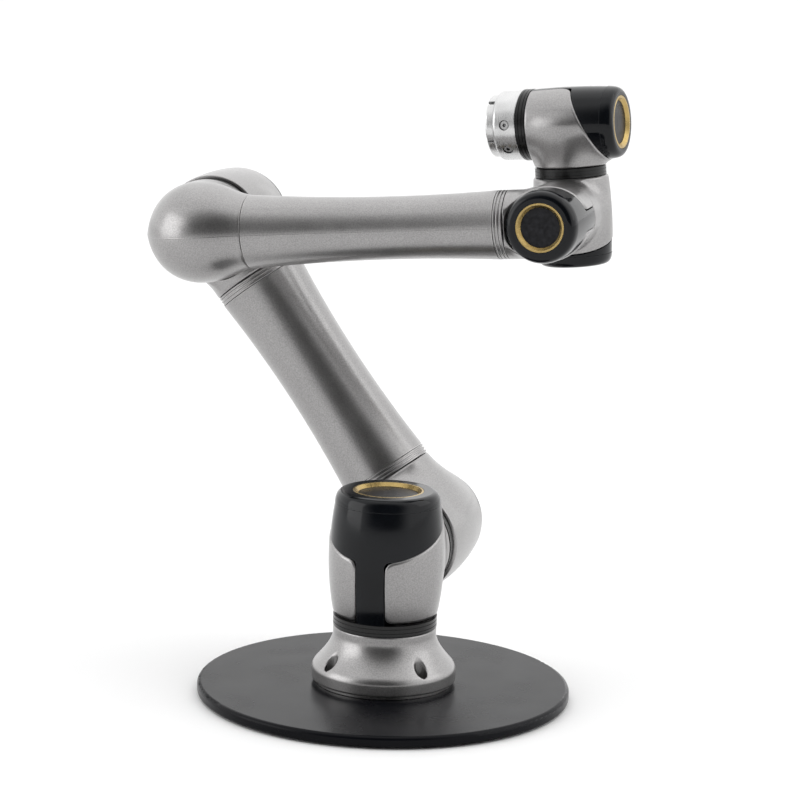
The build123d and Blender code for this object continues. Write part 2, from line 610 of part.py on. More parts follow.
base()
painted_housing(TURRET, port=True, child="foot", screw_r=BIG_SCREW)
painted_housing(SHOULDER_HOUSING, port=False, child="foot", screw_r=BIG_SCREW)
painted_housing(ELBOW_REAR, port=False, child="", screw_r=BIG_SCREW, swept_r=18.15)
painted_housing(WRIST_1, port=False, child="", screw_r=SMALL_SCREW)
painted_housing(WRIST_2_HOUSING, port=True, child="port", screw_r=SMALL_SCREW)
painted_housing(WRIST_3_HOUSING, port=True, child="port", screw_r=SMALL_SCREW)
for covered in (TURRET, WRIST_1, WRIST_2_HOUSING, WRIST_3_HOUSING):
    black_cover(covered, beyond_port=covered is TURRET)
for capped in (TURRET, SHOULDER_HOUSING, ELBOW_REAR, WRIST_1, WRIST_2_HOUSING, WRIST_3_HOUSING):
    end_cap(capped)
elbow_front()
tubes()
joints()
tool_end()
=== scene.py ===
import json
from math import cos, pi, radians, sin

import bpy
import numpy as np
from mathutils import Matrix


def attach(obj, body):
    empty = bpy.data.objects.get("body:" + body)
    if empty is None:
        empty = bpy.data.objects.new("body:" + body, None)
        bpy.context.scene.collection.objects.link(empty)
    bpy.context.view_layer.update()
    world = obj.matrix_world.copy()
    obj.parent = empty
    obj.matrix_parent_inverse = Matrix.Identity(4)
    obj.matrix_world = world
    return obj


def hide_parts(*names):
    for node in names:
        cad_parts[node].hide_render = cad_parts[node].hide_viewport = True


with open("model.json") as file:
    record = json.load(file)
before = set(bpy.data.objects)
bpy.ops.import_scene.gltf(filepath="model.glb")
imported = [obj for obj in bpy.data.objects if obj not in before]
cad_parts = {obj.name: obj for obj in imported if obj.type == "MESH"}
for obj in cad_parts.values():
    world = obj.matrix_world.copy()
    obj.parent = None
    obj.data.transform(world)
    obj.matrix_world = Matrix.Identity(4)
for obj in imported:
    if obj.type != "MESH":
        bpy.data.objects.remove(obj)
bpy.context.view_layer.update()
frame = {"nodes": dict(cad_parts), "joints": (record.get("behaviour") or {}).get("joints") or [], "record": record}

import openvdb
from mathutils import Matrix, Vector

# Desktop robot arm. Shapes are worked out in millimetres, and everything given to Blender is in metres.
# The six cast housings, the domed elbow and the pedestal are remade here, because their barrels, necks and
# flares run into each other with soft fillets. Each is the zero level of a distance function, meshed on a
# fine grid. The three collars are turned again with rounded beads. Every other piece is the CAD's own.
MM = 0.001
RUNNING_GAP = 0.2          # air between two housings that turn against each other
WALL = 1.8                 # castings of the base, the elbow and the shoulder
THIN_WALL = 1.4            # castings of the wrists
FLOOR = 2.6                # wall that a pivot screw clamps
PIVOT_HOLE = 3.3           # radius round the pivot screws of the base, the shoulder and the elbow
SMALL_PIVOT_HOLE = 2.3     # the same at the wrists
COLLAR_SPIGOT = 2.0        # lengths of a collar's spigots, into the housing and into the tube
TUBE_SPIGOT = 3.0
SEAM = 0.14                # line between a housing and its black cover
BEHIND = 0.17              # how fast a branch fades out on the far side of its barrel
EDGE = 0.9                 # band over which a casting's edges are rounded
FINE_EDGE = 0.4            # the same where a lip is thin
MARGIN = 1.5               # empty grid left round a casting

nodes = frame["nodes"]
joints = {joint["name"]: joint for joint in frame["joints"]}


# ---------------------------------------------------------------- places read from the frame
def vector(values):
    return np.array(values, float)


def joint_point(name):
    return vector(joints[name]["pos_m"]) / MM


def joint_axis(name):
    axis = vector(joints[name]["axis"])
    return axis / np.linalg.norm(axis)


def span(node, axis, origin=(0, 0, 0)):
    """Lowest and highest place of a CAD node along an axis from an origin, in millimetres."""
    mesh = nodes[node].data
    points = np.empty(len(mesh.vertices) * 3)
    mesh.vertices.foreach_get("co", points)
    along = (points.reshape(-1, 3) / MM - vector(origin)) @ vector(axis)
    return along.min(), along.max()


def middle(node, axis, origin=(0, 0, 0)):
    low, high = span(node, axis, origin)
    return (low + high) / 2


UP = vector((0, 0, 1))
BACK = vector((0, 1, 0))
SHOULDER = joint_point("shoulder")
ELBOW = joint_point("elbow")
WRIST = joint_point("wrist_1")
WRIST_2 = joint_point("wrist_2")
WRIST_3 = joint_point("wrist_3")
RISE = joint_axis("wrist_2")
TOOL = joint_axis("wrist_3")
ARM = (ELBOW - SHOULDER) / np.linalg.norm(ELBOW - SHOULDER)
FORE = (WRIST - ELBOW) / np.linalg.norm(WRIST - ELBOW)
ARM_Y = middle("upper_arm_tube", BACK)
FORE_Y = middle("forearm_tube", BACK)


# ---------------------------------------------------------------- distance functions
def soft_min(a, b, blend):
    """Union whose inner corner is filled over about the blend length."""
    share = np.clip(0.5 + 0.5 * (b - a) / blend, 0, 1)
    return b * (1 - share) + a * share - blend * share * (1 - share)


def soft_max(a, b, blend):
    """Intersection whose edge is rounded over about the blend length."""
    return -soft_min(-a, -b, blend)


def cut(body, tool, blend=EDGE):
    return soft_max(body, -tool, blend)


def mesh_of(name, distance, place, low, high, step):
    """Mesh of the zero level of a distance function, with the function's own normals.

    place is (origin, axes), and low and high are the grid's corners along those axes.
    """
    band = 3               # grid steps on each side of the surface where distances are kept
    reach = 0.02           # half the span over which slopes are measured
    settling_passes = 4    # moves of each point onto the surface
    longest_move = 0.4     # of a grid step, in one pass
    counts = np.ceil((vector(high) - vector(low)) / step).astype(int) + 1
    lines = [low[i] + step * np.arange(counts[i]) for i in range(3)]
    x, y, z = np.meshgrid(*lines, indexing="ij")
    values = np.clip(distance(x, y, z) / step, -band, band).astype(np.float32)
    grid = openvdb.FloatGrid(float(band))
    grid.copyFromArray(values)
    points, quads = grid.convertToQuads(isovalue=0.0)
    points = vector(low) + points.astype(float) * step

    def slope(p):
        rise = [distance(*(p + reach * axis).T) - distance(*(p - reach * axis).T) for axis in np.eye(3)]
        return np.stack(rise, 1) / (2 * reach)

    for _ in range(settling_passes):
        gradient = slope(points)
        length = np.maximum((gradient ** 2).sum(1), 0.25)
        move = -gradient * (distance(*points.T) / length)[:, None]
        points = points + np.clip(move, -longest_move * step, longest_move * step)
    normals = slope(points)
    normals /= np.maximum(np.linalg.norm(normals, axis=1), 1e-9)[:, None]

    corners = points[quads]
    facing = np.cross(corners[:, 2] - corners[:, 0], corners[:, 3] - corners[:, 1])
    if (facing * normals[quads[:, 0]]).sum() < 0:
        quads = quads[:, ::-1]
    origin, axes = place
    world = (origin + points @ axes) * MM
    mesh = bpy.data.meshes.new(name)
    mesh.from_pydata(world.tolist(), [], quads.tolist())
    mesh.polygons.foreach_set("use_smooth", [True] * len(mesh.polygons))
    mesh.normals_split_custom_set_from_vertices((normals @ axes).tolist())
    piece = bpy.data.objects.new(name, mesh)
    bpy.context.scene.collection.objects.link(piece)
    return piece


# ---------------------------------------------------------------- cast housings
def housing(name, body, origin, cap_dir, branch_dir, branch_point, seam, radii, branch_r, blend, wall,
            end_hole=0.0, cover=None, lifted=False, swept_r=0.0, edge=EDGE, solid_branch=False, step=0.4):
    """Barrel with a branch square to it. Heights are from the foot face towards the end cap.

    radii are the barrel's at its foot, middle and seam, and blend is the fillet between barrel and branch.
    end_hole is the radius of the hole in the branch's end, where a floor closes the branch.
    cover is (height, rise, stem width) of the black cover's outline, and lifted keeps the silver a little
    above the foot, with round corners beside the stem. swept_r cuts the foot off within that radius only, so
    that the branch may reach below it outside. edge is the rounding at the branch's end and at the cap's
    seat. solid_branch leaves the branch unhollowed. step is the grid's.
    """
    cover_corner = 3.2
    stem_corner = 2.4
    foot_lift = 0.8
    foot_r, mid_r, seam_r = radii
    branch_h = (branch_point - origin) @ cap_dir
    branch_end = span(f"{name}_housing", branch_dir, origin)[1]
    place = (origin, np.stack([branch_dir, np.cross(cap_dir, branch_dir), cap_dir]))
    bow = mid_r - (foot_r + seam_r) / 2
    screw_r = PIVOT_HOLE if wall == WALL else SMALL_PIVOT_HOLE

    def distance(x, y, z):
        along = z / seam
        barrel_r = foot_r + (seam_r - foot_r) * along + 4 * bow * along * (1 - along)
        from_axis = np.hypot(x, y)
        barrel = from_axis - barrel_r + np.minimum(z, 0) ** 2
        branch = np.hypot(y, z - branch_h) - branch_r + BEHIND * np.minimum(x, 0) ** 2
        skin = soft_min(barrel, branch, blend)
        inside = np.maximum(skin + wall, FLOOR - z)
        if end_hole:
            inside = np.maximum(inside, x - branch_end + FLOOR)
        if solid_branch:
            inside = np.maximum(inside, from_axis - foot_r + wall)
        shell = np.maximum(skin, -inside)
        shell = soft_max(shell, x - branch_end, edge)
        if swept_r:
            shell = cut(shell, np.maximum(z, from_axis - swept_r), FINE_EDGE)
        else:
            shell = soft_max(shell, -z, EDGE)
        cap_seat = soft_max(seam - z, from_axis - seam_r - SEAM, FINE_EDGE)
        shell = cut(shell, cap_seat, edge)
        if cover:
            cover_h, cover_rise, stem_w = cover
            tilt = cover_rise / mid_r
            above = (cover_h + tilt * x - z) / np.hypot(1, tilt)
            stem = np.maximum(np.abs(y) - stem_w / 2, x + foot_r / 2)
            if lifted:
                stem = soft_min(stem, np.hypot(z, foot_lift / 2) - foot_lift, stem_corner)
            shell = cut(shell, soft_min(above, stem, cover_corner) - SEAM)
        shell = np.maximum(shell, -np.maximum(from_axis - screw_r, z - 2 * FLOOR))
        if end_hole:
            hole = np.hypot(y, z - branch_h) - end_hole
            shell = np.maximum(shell, -np.maximum(hole, branch_end - 2 * FLOOR - x))
        return shell

    half_width = max(mid_r, branch_r) + MARGIN
    low = (-mid_r - MARGIN, -half_width, min(0, branch_h - branch_r) - MARGIN)
    high = (branch_end + MARGIN, half_width, max(seam, branch_h + branch_r) + MARGIN)
    piece = mesh_of(f"{name}_casting", distance, place, low, high, step)
    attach(piece, body)
    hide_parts(f"{name}_housing")
    return piece


def foot_and_seam(cover_node, cap_dir, through):
    """Foot of a covered housing on its axis, and the height of its cap's seam: the cover spans both."""
    low, high = span(cover_node, cap_dir, through)
    return through + low * cap_dir, high - low


castings = []

turret_foot, turret_seam = foot_and_seam("turret_cover", UP, vector((0, 0, 0)))
castings.append(housing(
    "turret", "turret", turret_foot, UP, BACK, SHOULDER, turret_seam, (17.3, 19.4, 17.9), 17.5, 3.0, WALL,
    end_hole=PIVOT_HOLE, cover=(29.8, 8.3, 9.6), lifted=True, step=0.35))

shoulder_foot, shoulder_seam = span("shoulder_housing", BACK)
castings.append(housing(
    "shoulder", "upper_arm", SHOULDER + shoulder_foot * BACK, BACK, ARM, ARM_Y * BACK,
    shoulder_seam - shoulder_foot, (18.5, 18.9, 17.2), 15.5, 9.0, WALL))

elbow_foot = span("elbow_ring", BACK)[1] + RUNNING_GAP
elbow_seam = span("elbow_rear_housing", BACK)[1]
castings.append(housing(
    "elbow_rear", "upper_arm", ELBOW + elbow_foot * BACK, BACK, -ARM, ARM_Y * BACK,
    elbow_seam - elbow_foot, (17.9, 18.4, 17.8), 15.8, 6.0, WALL, swept_r=18.15))

wrist_foot, wrist_seam = foot_and_seam("wrist_1_cover", -BACK, WRIST)
castings.append(housing(
    "wrist_1", "forearm", wrist_foot, -BACK, -FORE, FORE_Y * BACK, wrist_seam, (12.2, 12.5, 12.2), 11.4, 2.0,
    THIN_WALL, end_hole=8.5, cover=(18.6, 7.0, 6.6), edge=FINE_EDGE, solid_branch=True, step=0.2))

wrist_foot, wrist_seam = foot_and_seam("wrist_2_cover", -RISE, WRIST_2)
castings.append(housing(
    "wrist_2", "wrist_2", wrist_foot, -RISE, -BACK, WRIST, wrist_seam, (12.6, 13.2, 12.7), 12.0, 2.5,
    THIN_WALL, end_hole=SMALL_PIVOT_HOLE, cover=(22.4, 3.4, 6.6), step=0.3))

wrist_foot, wrist_seam = foot_and_seam("wrist_3_cover", -TOOL, WRIST_3)
castings.append(housing(
    "wrist_3", "wrist_3", wrist_foot, -TOOL, -RISE, WRIST_2, wrist_seam, (12.1, 12.6, 12.3), 11.4, 5.0,
    THIN_WALL, end_hole=SMALL_PIVOT_HOLE, cover=(20.7, 6.4, 6.2), step=0.3))


def domed_elbow():
    """Front elbow housing: a dome about the elbow axis whose neck narrows into the forearm tube."""
    dome_r, dome_depth = 17.1, 18.5
    equator = 4.0          # height of the dome's widest section
    neck_r = 12.45         # at the tube
    neck_taper = 0.085     # growth of the neck per mm away from the tube
    fade_start = 12.0      # where the neck starts to sink into the dome, and how fast
    fade = 0.022
    blend = 8.0
    back_edge = 0.5
    origin = ELBOW + FORE_Y * BACK
    seam = span("forearm_tube", FORE, origin)[0] - SEAM
    back_face = span("elbow_ring", BACK)[0] - FORE_Y
    place = (origin, np.stack([FORE, np.cross(BACK, FORE), BACK]))

    def distance(x, y, z):
        from_axis = np.hypot(x, y)
        below = np.minimum(z - equator, 0)
        near = np.sqrt((from_axis / dome_r) ** 2 + (below / dome_depth) ** 2)
        steep = np.sqrt((from_axis / dome_r ** 2) ** 2 + (below / dome_depth ** 2) ** 2)
        dome = near * (near - 1) / np.maximum(steep, 1e-6)
        to_seam = seam - x
        neck = np.hypot(y, z) - neck_r - neck_taper * to_seam + fade * np.minimum(x - fade_start, 0) ** 2
        skin = soft_min(dome, neck, blend)
        shell = np.maximum(skin, -np.maximum(skin + WALL, z - back_face + FLOOR))
        shell = soft_max(shell, z - back_face, back_edge)
        return soft_max(shell, x - seam, EDGE)

    low = (-19, -19.5, -17)
    high = (seam + MARGIN, 19.5, back_face + MARGIN)
    piece = mesh_of("elbow_dome", distance, place, low, high, 0.4)
    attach(piece, "forearm")
    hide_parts("elbow_front_housing")
    return piece


elbow_dome = domed_elbow()
castings.append(elbow_dome)


def pedestal():
    """Flared pedestal: a rim with an undercut below it, a concave flare, and four screw pockets."""
    bottom, top = span("pedestal", UP)
    undercut, undercut_r = bottom + 1.3, 22.7
    flare_foot, flare_top = 10.5, 21.6
    rim_r, neck_r, rim_blend = 24.2, 17.3, 1.2
    flare_power, flare_fullness, flare_reach = 1.75, 0.3, 1.3
    hollow_r, hollow_foot_r, hollow_slope, hollow_top = 15.0, 17.6, 0.45, 18.0
    pocket_circle, pocket_r, pocket_floor, first_pocket = 21.2, 2.1, 7.4, 142
    cut_edge, top_edge = 0.7, 0.6

    def distance(x, y, z):
        from_axis = np.hypot(x, y)
        down = np.clip((flare_top - z) / (flare_top - flare_foot), 0, flare_reach)
        flare = down ** flare_power + flare_fullness * down ** 3 * (1 - down)
        flare_r = neck_r + (rim_r - neck_r) * flare
        shell = from_axis - soft_min(flare_r, rim_r, rim_blend)
        inner_r = np.minimum(hollow_foot_r, hollow_r + hollow_slope * np.maximum(hollow_top - z, 0))
        inside = np.maximum(from_axis - inner_r, z - top + FLOOR)
        shell = np.maximum(soft_max(shell, z - top, top_edge), -inside)
        shell = cut(shell, np.maximum(z - undercut, undercut_r - from_axis), cut_edge)
        for i in range(4):
            angle = radians(first_pocket + 90 * i)
            pocket = np.hypot(x - pocket_circle * cos(angle), y - pocket_circle * sin(angle)) - pocket_r
            shell = cut(shell, np.maximum(pocket, pocket_floor - z), cut_edge)
        shell = np.maximum(shell, PIVOT_HOLE - from_axis)
        return np.maximum(shell, bottom - z)

    place = (np.zeros(3), np.eye(3))
    low = (-26, -26, bottom - 1)
    high = (26, 26, top + 1)
    piece = mesh_of("pedestal_casting", distance, place, low, high, 0.35)
    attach(piece, "base")
    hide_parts("pedestal")
    return piece


castings.append(pedestal())


# ---------------------------------------------------------------- collars at the tube ends
def lathe(name, place, profile, segments=128):
    """Closed ring turned from (along, radius) points about the first axis of its place."""
    sharpest_smooth = 50   # degrees between faces that are still shaded as one
    origin, axes = place
    vertices, faces = [], []
    count = len(profile)
    for i in range(segments):
        angle = 2 * pi * i / segments
        for along, radius in profile:
            local = vector((along, radius * cos(angle), radius * sin(angle)))
            vertices.append((origin + local @ axes) * MM)
        for j in range(count):
            here, after = i * count, (i + 1) % segments * count
            following = (j + 1) % count
            faces.append((here + j, after + j, after + following, here + following))
    mesh = bpy.data.meshes.new(name)
    mesh.from_pydata(vertices, [], faces)
    mesh.polygons.foreach_set("use_smooth", [True] * len(mesh.polygons))
    mesh.set_sharp_from_angle(angle=radians(sharpest_smooth))
    piece = bpy.data.objects.new(name, mesh)
    bpy.context.scene.collection.objects.link(piece)
    return piece


def beaded_collar(node, body, centre, direction):
    """Collar of three rounded beads with narrow grooves between them."""
    beads = 3
    groove = 0.36
    thickness = 1.6
    # one bead's profile: share of its width, and height from the collar's outer radius
    bead = [(0, -0.5), (0.05, -0.16), (0.15, -0.04), (0.30, 0),
            (0.70, 0), (0.85, -0.04), (0.95, -0.16), (1, -0.5)]
    across = np.cross(direction, BACK)
    low, high = span(node, direction, centre)
    radius = span(node, across, centre)[1]
    start, end = low + COLLAR_SPIGOT, high - TUBE_SPIGOT
    width = (end - start - 2 * SEAM - (beads - 1) * groove) / beads
    profile = []
    for i in range(beads):
        left = start + SEAM + i * (width + groove)
        profile += [(left + share * width, radius + height) for share, height in bead]
    profile += [(profile[-1][0], radius - thickness), (profile[0][0], radius - thickness)]
    place = (centre, np.stack([direction, across, np.cross(direction, across)]))
    piece = lathe(f"{node}_beads", place, profile[::-1])
    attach(piece, body)
    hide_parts(node)
    return piece


for node, body, centre, direction in (
        ("lower_collar", "upper_arm", SHOULDER + ARM_Y * BACK, ARM),
        ("upper_collar", "upper_arm", ELBOW + ARM_Y * BACK, -ARM),
        ("forearm_collar", "forearm", WRIST + FORE_Y * BACK, -FORE)):
    castings.append(beaded_collar(node, body, centre, direction))


# ---------------------------------------------------------------- materials
# Edges are painted paler: partly rubbing, partly a painted highlight standing in for light glinting on rounded
# edges.
WORN_AND_LIT_EDGE = (0.72, 0.97)       # cosine between the true and the rounded normal: edge fully paled by rubbing and painted highlight, and untouched
RUBBED_AND_LIT_EDGE = (0.75, 0.97)
GAP_SHADE_SPAN = (0.45, 0.85)       # openness of a face, for painted shade in gaps: deep in a gap, and clear of it


class Painter:
    """Node material built a step at a time.

    Patterns use object coordinates, which are metres in the frame. Noise scales are per metre.
    """

    def __init__(self, name):
        self.material = bpy.data.materials.new(name)
        self.material.use_nodes = True
        self.tree = self.material.node_tree
        self.shader = self.tree.nodes["Principled BSDF"]
        self.where = self.tree.nodes.new("ShaderNodeTexCoord").outputs["Object"]

    def node(self, kind, **values):
        made = self.tree.nodes.new(kind)
        for key, value in values.items():
            if hasattr(made, key):
                setattr(made, key, value)
            else:
                made.inputs[key.replace("_", " ")].default_value = value
        return made

    def link(self, out, into):
        self.tree.links.new(out, into)

    def set(self, **values):
        for key, value in values.items():
            self.shader.inputs[key.replace("_", " ")].default_value = value

    def noise(self, scale, detail=3.0, stretch=None):
        texture = self.node("ShaderNodeTexNoise", Scale=scale, Detail=detail)
        place = self.where
        if stretch:
            mapping = self.node("ShaderNodeMapping", Scale=stretch)
            self.link(place, mapping.inputs["Vector"])
            place = mapping.outputs["Vector"]
        self.link(place, texture.inputs["Vector"])
        return texture.outputs["Fac"]

    def ramp(self, fac, low, high, start=0.3, end=0.7):
        ramp = self.node("ShaderNodeValToRGB")
        ramp.color_ramp.elements[0].position = start
        ramp.color_ramp.elements[0].color = (*low, 1)
        ramp.color_ramp.elements[1].position = end
        ramp.color_ramp.elements[1].color = (*high, 1)
        self.link(fac, ramp.inputs["Fac"])
        return ramp.outputs["Color"]

    def spread(self, fac, low, high):
        """A noise value turned into a number from low to high."""
        spread = self.node("ShaderNodeMapRange", From_Min=0.3, From_Max=0.7, To_Min=low, To_Max=high)
        self.link(fac, spread.inputs["Value"])
        return spread.outputs["Result"]

    def mix(self, fac, a, b, blend="MIX"):
        """Colour a where the factor is 0 and b where it is 1. Each may be a value or a node's output."""
        mix = self.node("ShaderNodeMix", data_type="RGBA", blend_type=blend)
        colour_a, colour_b, colour_out = mix.inputs[6], mix.inputs[7], mix.outputs[2]
        for value, socket in ((fac, mix.inputs["Factor"]), (a, colour_a), (b, colour_b)):
            if hasattr(value, "links"):
                self.link(value, socket)
            else:
                socket.default_value = value
        return colour_out

    def edges(self, radius, full_edge, plain):
        """1 on plain faces, falling to 0 where an edge is nearer than about the radius."""
        # mask for edges painted paler, as rubbing and as a painted highlight
        rounded = self.node("ShaderNodeBevel", Radius=radius, samples=4)
        flat = self.node("ShaderNodeNewGeometry").outputs["Normal"]
        across = self.node("ShaderNodeVectorMath", operation="DOT_PRODUCT")
        self.link(rounded.outputs["Normal"], across.inputs[0])
        self.link(flat, across.inputs[1])
        spread = self.node("ShaderNodeMapRange", From_Min=full_edge, From_Max=plain)
        self.link(across.outputs["Value"], spread.inputs["Value"])
        return spread.outputs["Result"]

    def gaps(self, reach, deep, open_face):
        """1 on open faces, falling to 0 inside pockets and gaps narrower than about twice the reach: the mask for
        painted shade in hollows.
        """
        opening = self.node("ShaderNodeAmbientOcclusion", Distance=reach, only_local=True, samples=8)
        spread = self.node("ShaderNodeMapRange", From_Min=deep, From_Max=open_face)
        self.link(opening.outputs["AO"], spread.inputs["Value"])
        return spread.outputs["Result"]

    def line(self, normal, offset, width):
        """1 on the plane, falling to 0 at the width from it."""
        across = self.node("ShaderNodeVectorMath", operation="DOT_PRODUCT")
        across.inputs[1].default_value = normal
        self.link(self.where, across.inputs[0])
        centred = self.node("ShaderNodeMath", operation="SUBTRACT")
        centred.inputs[1].default_value = offset
        self.link(across.outputs["Value"], centred.inputs[0])
        size = self.node("ShaderNodeMath", operation="ABSOLUTE")
        self.link(centred.outputs[0], size.inputs[0])
        fall = self.node("ShaderNodeMapRange", From_Min=0.0, From_Max=width, To_Min=1.0, To_Max=0.0)
        self.link(size.outputs[0], fall.inputs["Value"])
        return fall.outputs["Result"]

    def bump(self, height, distance, strength=1.0, under=None):
        bump = self.node("ShaderNodeBump", Distance=distance, Strength=strength)
        self.link(height, bump.inputs["Height"])
        if under:
            self.link(under, bump.inputs["Normal"])
        return bump.outputs["Normal"]


def silver_paint(name, parting=None):
    """Satin metallic paint: fine flake in colour and relief, faint clouding, paler along its edges from rubbing
    and a painted highlight.

    parting is the (normal, offset in metres) of the plane where the casting's two mould halves met.
    """
    paint = Painter(name)
    flake = paint.noise(2500.0, 2.0)
    flakes = paint.ramp(flake, (0.278, 0.272, 0.272), (0.366, 0.359, 0.357), 0.35, 0.65)
    clouds = paint.ramp(paint.noise(42.0, 4.0), (0.93, 0.93, 0.93), (1.0, 1.0, 1.0))
    body = paint.mix(1.0, flakes, clouds, "MULTIPLY")
    # painted highlight with rubbing: pale colour mixed in where an edge is near
    wear_and_highlight = paint.edges(0.0004, *WORN_AND_LIT_EDGE)
    paint.link(paint.mix(wear_and_highlight, (0.62, 0.61, 0.60, 1), body), paint.shader.inputs["Base Color"])
    paint.link(paint.spread(paint.noise(160.0, 3.0), 0.275, 0.32), paint.shader.inputs["Roughness"])
    peel = paint.bump(paint.noise(600.0, 2.0), 0.00004, 0.12)
    relief = paint.bump(flake, 0.00004, 0.22, peel)
    if parting:
        relief = paint.bump(paint.line(*parting, 0.00022), 0.0001, 1.0, relief)
    paint.link(relief, paint.shader.inputs["Normal"])
    paint.set(Metallic=0.88, Coat_Weight=0.15, Coat_Roughness=0.15)
    return paint.material


def gloss_black():
    """Gloss black moulding, with faint orange peel, handling haze, and edges painted paler as polish and as a
    painted highlight.
    """
    black = Painter("gloss_black")
    haze = black.noise(60.0, 5.0)
    shades = black.ramp(haze, (0.0025, 0.003, 0.004), (0.005, 0.006, 0.008))
    # painted highlight with polish: paler colour mixed in where an edge is near
    wear_and_highlight = black.edges(0.00025, *WORN_AND_LIT_EDGE)
    black.link(black.mix(wear_and_highlight, (0.05, 0.052, 0.056, 1), shades), black.shader.inputs["Base Color"])
    black.link(black.spread(haze, 0.07, 0.14), black.shader.inputs["Roughness"])
    black.link(black.bump(black.noise(500.0, 2.0), 0.00004, 0.12), black.shader.inputs["Normal"])
    black.set(Specular_IOR_Level=0.25)
    return black.material


def swivel_ring():
    """Satin black plastic of the running rings, with a fine moulded grain."""
    black = Painter("swivel_ring")
    grain = black.noise(1500.0, 3.0)
    shades = black.ramp(black.noise(90.0, 4.0), (0.0042,) * 3, (0.0078,) * 3)
    black.link(shades, black.shader.inputs["Base Color"])
    black.link(black.spread(grain, 0.16, 0.26), black.shader.inputs["Roughness"])
    black.link(black.bump(grain, 0.00003, 0.2), black.shader.inputs["Normal"])
    black.set(Specular_IOR_Level=0.34)
    return black.material


def gold_trim():
    """Turned and lacquered brass-coloured ring, paler along its edges from rubbing and a painted highlight."""
    gold = Painter("gold_trim")
    shades = gold.ramp(gold.noise(300.0, 4.0), (0.42, 0.30, 0.115), (0.48, 0.35, 0.14))
    # painted highlight with rubbing: paler gold mixed in where an edge is near
    wear_and_highlight = gold.edges(0.0002, *RUBBED_AND_LIT_EDGE)
    gold.link(gold.mix(wear_and_highlight, (0.66, 0.54, 0.30, 1), shades), gold.shader.inputs["Base Color"])
    gold.link(gold.spread(gold.noise(900.0, 3.0), 0.22, 0.34), gold.shader.inputs["Roughness"])
    gold.link(gold.bump(gold.noise(1800.0, 2.0), 0.00003, 0.3), gold.shader.inputs["Normal"])
    gold.set(Metallic=1.0)
    return gold.material


def cap_disc():
    """Dark disc in each end cap, pebbled by its mould."""
    disc = Painter("cap_disc")
    pebble = disc.noise(700.0, 3.0)
    shades = disc.ramp(pebble, (0.003, 0.003, 0.004), (0.016, 0.016, 0.019))
    disc.link(shades, disc.shader.inputs["Base Color"])
    disc.link(disc.spread(disc.noise(200.0, 3.0), 0.25, 0.40), disc.shader.inputs["Roughness"])
    disc.link(disc.bump(pebble, 0.00012, 0.5), disc.shader.inputs["Normal"])
    disc.set(Specular_IOR_Level=0.18)
    return disc.material


def plate_black():
    """Charcoal satin paint on the base plate, with a slight haze of dust, and edges painted paler from rubbing and
    as a painted highlight.
    """
    plate = Painter("plate_black")
    haze = plate.noise(25.0, 6.0)
    shades = plate.ramp(haze, (0.0022, 0.0023, 0.0036), (0.005, 0.0053, 0.0070))
    # painted highlight with rubbing: grey mixed in where an edge is near
    wear_and_highlight = plate.edges(0.0003, *WORN_AND_LIT_EDGE)
    plate.link(plate.mix(wear_and_highlight, (0.10, 0.10, 0.105, 1), shades), plate.shader.inputs["Base Color"])
    plate.link(plate.spread(plate.noise(70.0, 4.0), 0.22, 0.29), plate.shader.inputs["Roughness"])
    plate.link(plate.bump(plate.noise(1100.0, 2.0), 0.00003, 0.2), plate.shader.inputs["Normal"])
    plate.set(Specular_IOR_Level=0.095)
    return plate.material


def pad_rubber():
    """Matte rubber under the plate."""
    pad = Painter("pad_rubber")
    grain = pad.noise(800.0, 4.0)
    pad.link(pad.ramp(grain, (0.012,) * 3, (0.024,) * 3), pad.shader.inputs["Base Color"])
    pad.link(pad.bump(grain, 0.0001, 0.4), pad.shader.inputs["Normal"])
    pad.set(Roughness=0.85)
    return pad.material


def turned_metal(name, tone, rough):
    """Machined metal with fine tool lines, paler along its edges from polish and a painted highlight, and darkened
    deep in its pockets by painted shade.

    tone is its brightest grey, and rough the lowest and highest roughness.
    """
    metal = Painter(name)
    lines = metal.noise(500.0, 3.0, stretch=(9.0, 0.6, 0.6))
    shades = metal.ramp(metal.noise(140.0, 4.0), (tone * 0.84,) * 3, (tone,) * 3)
    # painted highlight with polish: near white mixed in where an edge is near
    wear_and_highlight = metal.edges(0.0002, *RUBBED_AND_LIT_EDGE)
    body = metal.mix(wear_and_highlight, (0.80, 0.80, 0.79, 1), shades)
    # painted shade: pockets and narrow gaps turn near black, standing in for the shade that falls in them
    gap_shade = metal.gaps(0.0008, *GAP_SHADE_SPAN)
    metal.link(metal.mix(gap_shade, (0.02, 0.02, 0.022, 1), body), metal.shader.inputs["Base Color"])
    metal.link(metal.spread(lines, *rough), metal.shader.inputs["Roughness"])
    metal.link(metal.bump(lines, 0.00003, 0.25), metal.shader.inputs["Normal"])
    metal.set(Metallic=1.0)
    return metal.material


def washer():
    """Off-white friction washers inside the joints."""
    white = Painter("washer")
    grain = white.noise(900.0, 3.0)
    white.link(white.ramp(grain, (0.60, 0.59, 0.55), (0.74, 0.73, 0.69)), white.shader.inputs["Base Color"])
    white.link(white.bump(grain, 0.00003, 0.3), white.shader.inputs["Normal"])
    white.set(Roughness=0.6)
    return white.material


finishes = {
    "silver_paint": silver_paint("silver_paint"),
    "gloss_black": gloss_black(),
    "gold_trim": gold_trim(),
    "cap_disc": cap_disc(),
    "swivel_ring": swivel_ring(),
    "plate_black": plate_black(),
    "pad_rubber": pad_rubber(),
    "bright_flange": turned_metal("bright_flange", 0.62, (0.20, 0.32)),
    "steel": turned_metal("steel", 0.52, (0.22, 0.38)),
    "washer": washer(),
}

for entry in frame["record"]["subparts"]:
    node = nodes[entry["node"]]
    node.data.materials.clear()
    node.data.materials.append(finishes[entry["material_slot"]])
for casting in castings:
    casting.data.materials.append(finishes["silver_paint"])

